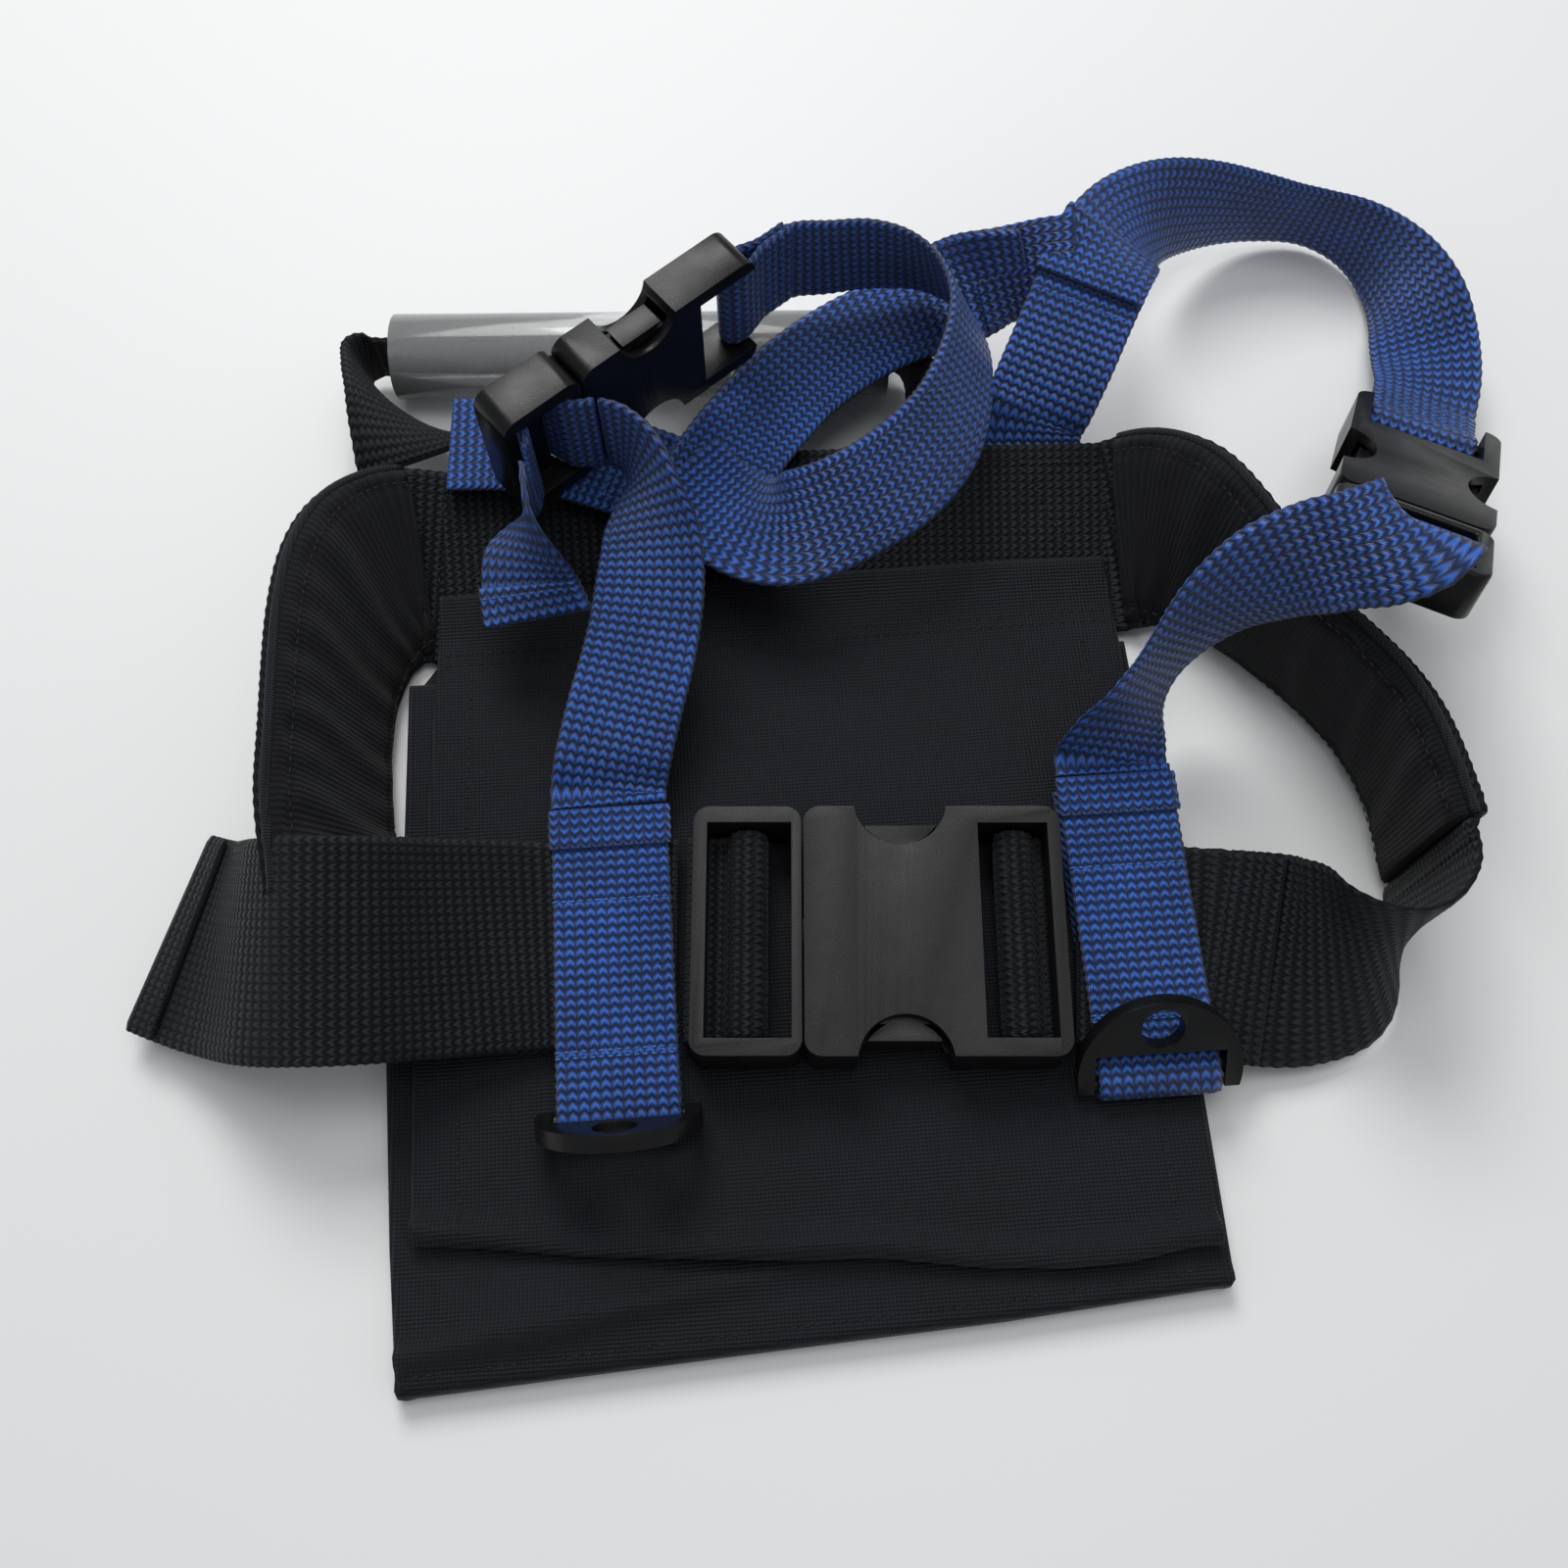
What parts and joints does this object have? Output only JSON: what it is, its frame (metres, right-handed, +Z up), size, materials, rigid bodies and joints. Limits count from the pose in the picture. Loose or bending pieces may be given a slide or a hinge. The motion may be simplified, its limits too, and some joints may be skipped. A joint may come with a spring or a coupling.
{
  "type": "small webbing harness with flap pouch",
  "caption": "Small webbing harness lying flat: flap pouch, padded waist belt, two shoulder straps, side-release buckles, swinging rings and a handle with a clear tube grip.",
  "frame": {"origin": "middle of the pouch's back panel, on the surface it lies on", "axes": "+Z up out of the pouch's back, +Y from the pouch towards the handle, +X towards the receiver side of the belt buckle"},
  "size_m": [0.3589, 0.3015, 0.0785],
  "materials": {
    "pouch_cloth": "plain woven nylon, dull",
    "padding": "soft foam under cloth",
    "lining": "fine knitted lining",
    "black_webbing": "ribbed webbing, dull",
    "blue_webbing": "ribbed webbing, silky",
    "buckle_plastic": "fine grained",
    "receiver_plastic": "fine grained",
    "ring_plastic": "smooth",
    "clear_tube": "clear flexible vinyl",
    "grip_strip": "printed with plain ticks"
  },
  "bodies": {
    "harness": {"back_panel": "pouch_cloth", "front_panel": "pouch_cloth", "pocket_gusset": "pouch_cloth", "flap_upper": "pouch_cloth", "belt_back_web": "black_webbing", "pad_left_web": "black_webbing", "pad_left_foam": "padding", "pad_left_lining": "lining", "pad_right_web": "black_webbing", "pad_right_foam": "padding", "pad_right_lining": "lining", "belt_left_run": "black_webbing", "belt_right_web": "black_webbing", "belt_right_wrap": "black_webbing", "belt_receiver": "receiver_plastic", "sleeve_right": "blue_webbing", "strap_left": "blue_webbing", "strap_left_tail": "blue_webbing", "strap_left_ladder": "blue_webbing", "strap_right": "blue_webbing", "upright_left": "blue_webbing", "upright_right": "blue_webbing", "cross_middle": "blue_webbing", "cross_left": "blue_webbing", "cross_right": "blue_webbing", "cross_right_end": "blue_webbing", "left_tongue": "buckle_plastic", "right_receiver": "receiver_plastic", "handle_web": "black_webbing"},
    "flap": {"flap_lower": "pouch_cloth"},
    "belt_front_left": {"belt_tongue": "buckle_plastic", "belt_left_wrap": "black_webbing", "belt_tail_web": "black_webbing", "sleeve_left": "blue_webbing"},
    "belt_arm_a": {"belt_arm_a": "buckle_plastic"},
    "belt_arm_b": {"belt_arm_b": "buckle_plastic"},
    "ring_left": {"ring_left": "ring_plastic"},
    "ring_right": {"ring_right": "ring_plastic"},
    "left_receiver": {"left_receiver": "receiver_plastic", "cross_left_end": "blue_webbing"},
    "left_arm_a": {"left_arm_a": "buckle_plastic"},
    "left_arm_b": {"left_arm_b": "buckle_plastic"},
    "right_tongue": {"right_tongue": "buckle_plastic", "strap_right_ladder": "blue_webbing", "strap_right_tail": "blue_webbing"},
    "right_arm_a": {"right_arm_a": "buckle_plastic"},
    "right_arm_b": {"right_arm_b": "buckle_plastic"},
    "grip": {"grip_tube": "clear_tube", "grip_strip": "grip_strip"}
  },
  "joints": [
    {"name": "belt_release", "type": "slide", "parent": "harness", "child": "belt_front_left", "axis": [-0.9976, 0.0698, 0], "range_m": [0, 0.034], "deforming": ["belt_left_run", "strap_left", "belt_arm_a", "belt_arm_b"]},
    {"name": "belt_latch_a", "type": "hinge", "parent": "belt_front_left", "child": "belt_arm_a", "pos_m": [0.0033, 0.01354, 0.0171], "axis": [0, 0, -1], "range_deg": [0, 5], "stiffness_Nm_per_rad": 0.3},
    {"name": "belt_latch_b", "type": "hinge", "parent": "belt_front_left", "child": "belt_arm_b", "pos_m": [0.0005, -0.0266, 0.0171], "axis": [0, 0, 1], "range_deg": [0, 5], "stiffness_Nm_per_rad": 0.3},
    {"name": "left_shoulder_release", "type": "slide", "parent": "harness", "child": "left_receiver", "axis": [0.8028, 0.5962, 0], "range_m": [0, 0.03], "deforming": ["cross_left", "left_arm_a", "left_arm_b"]},
    {"name": "left_latch_a", "type": "hinge", "parent": "harness", "child": "left_arm_a", "pos_m": [-0.04568, 0.12474, 0.03468], "axis": [0.5962, -0.8028, 0], "range_deg": [0, 5], "stiffness_Nm_per_rad": 0.3},
    {"name": "left_latch_b", "type": "hinge", "parent": "harness", "child": "left_arm_b", "pos_m": [-0.04568, 0.12474, 0.05732], "axis": [-0.5962, 0.8028, 0], "range_deg": [0, 5], "stiffness_Nm_per_rad": 0.3},
    {"name": "right_shoulder_release", "type": "slide", "parent": "harness", "child": "right_tongue", "axis": [-0.4145, -0.7796, 0.4695], "range_m": [0, 0.03], "deforming": ["strap_right", "right_arm_a", "right_arm_b"]},
    {"name": "right_latch_a", "type": "hinge", "parent": "right_tongue", "child": "right_arm_a", "pos_m": [0.16156, 0.0704, 0.04821], "axis": [0.2204, 0.4145, 0.8829], "range_deg": [0, 5], "stiffness_Nm_per_rad": 0.3},
    {"name": "right_latch_b", "type": "hinge", "parent": "right_tongue", "child": "right_arm_b", "pos_m": [0.14157, 0.08103, 0.04821], "axis": [-0.2204, -0.4145, -0.8829], "range_deg": [0, 5], "stiffness_Nm_per_rad": 0.3},
    {"name": "ring_left_swing", "type": "hinge", "parent": "belt_front_left", "child": "ring_left", "pos_m": [-0.043, -0.0454, 0.01375], "axis": [1, 0, 0], "range_deg": [-60, 20]},
    {"name": "ring_right_swing", "type": "hinge", "parent": "harness", "child": "ring_right", "pos_m": [0.0805, -0.0454, 0.01375], "axis": [1, 0, 0], "range_deg": [0, 80]},
    {"name": "flap_peel", "type": "hinge", "parent": "harness", "child": "flap", "pos_m": [0, -0.052, 0.0088], "axis": [-1, 0, 0], "range_deg": [0, 55]},
    {"name": "grip_turn", "type": "hinge", "parent": "harness", "child": "grip", "pos_m": [-0.0305, 0.165, 0.012], "axis": [0.9983, -0.0576, 0], "continuous": true}
  ],
  "couplings": [
    {"joint": "belt_latch_b", "follows": "belt_latch_a", "ratio": 1},
    {"joint": "left_latch_b", "follows": "left_latch_a", "ratio": 1},
    {"joint": "right_latch_b", "follows": "right_latch_a", "ratio": 1}
  ]
}
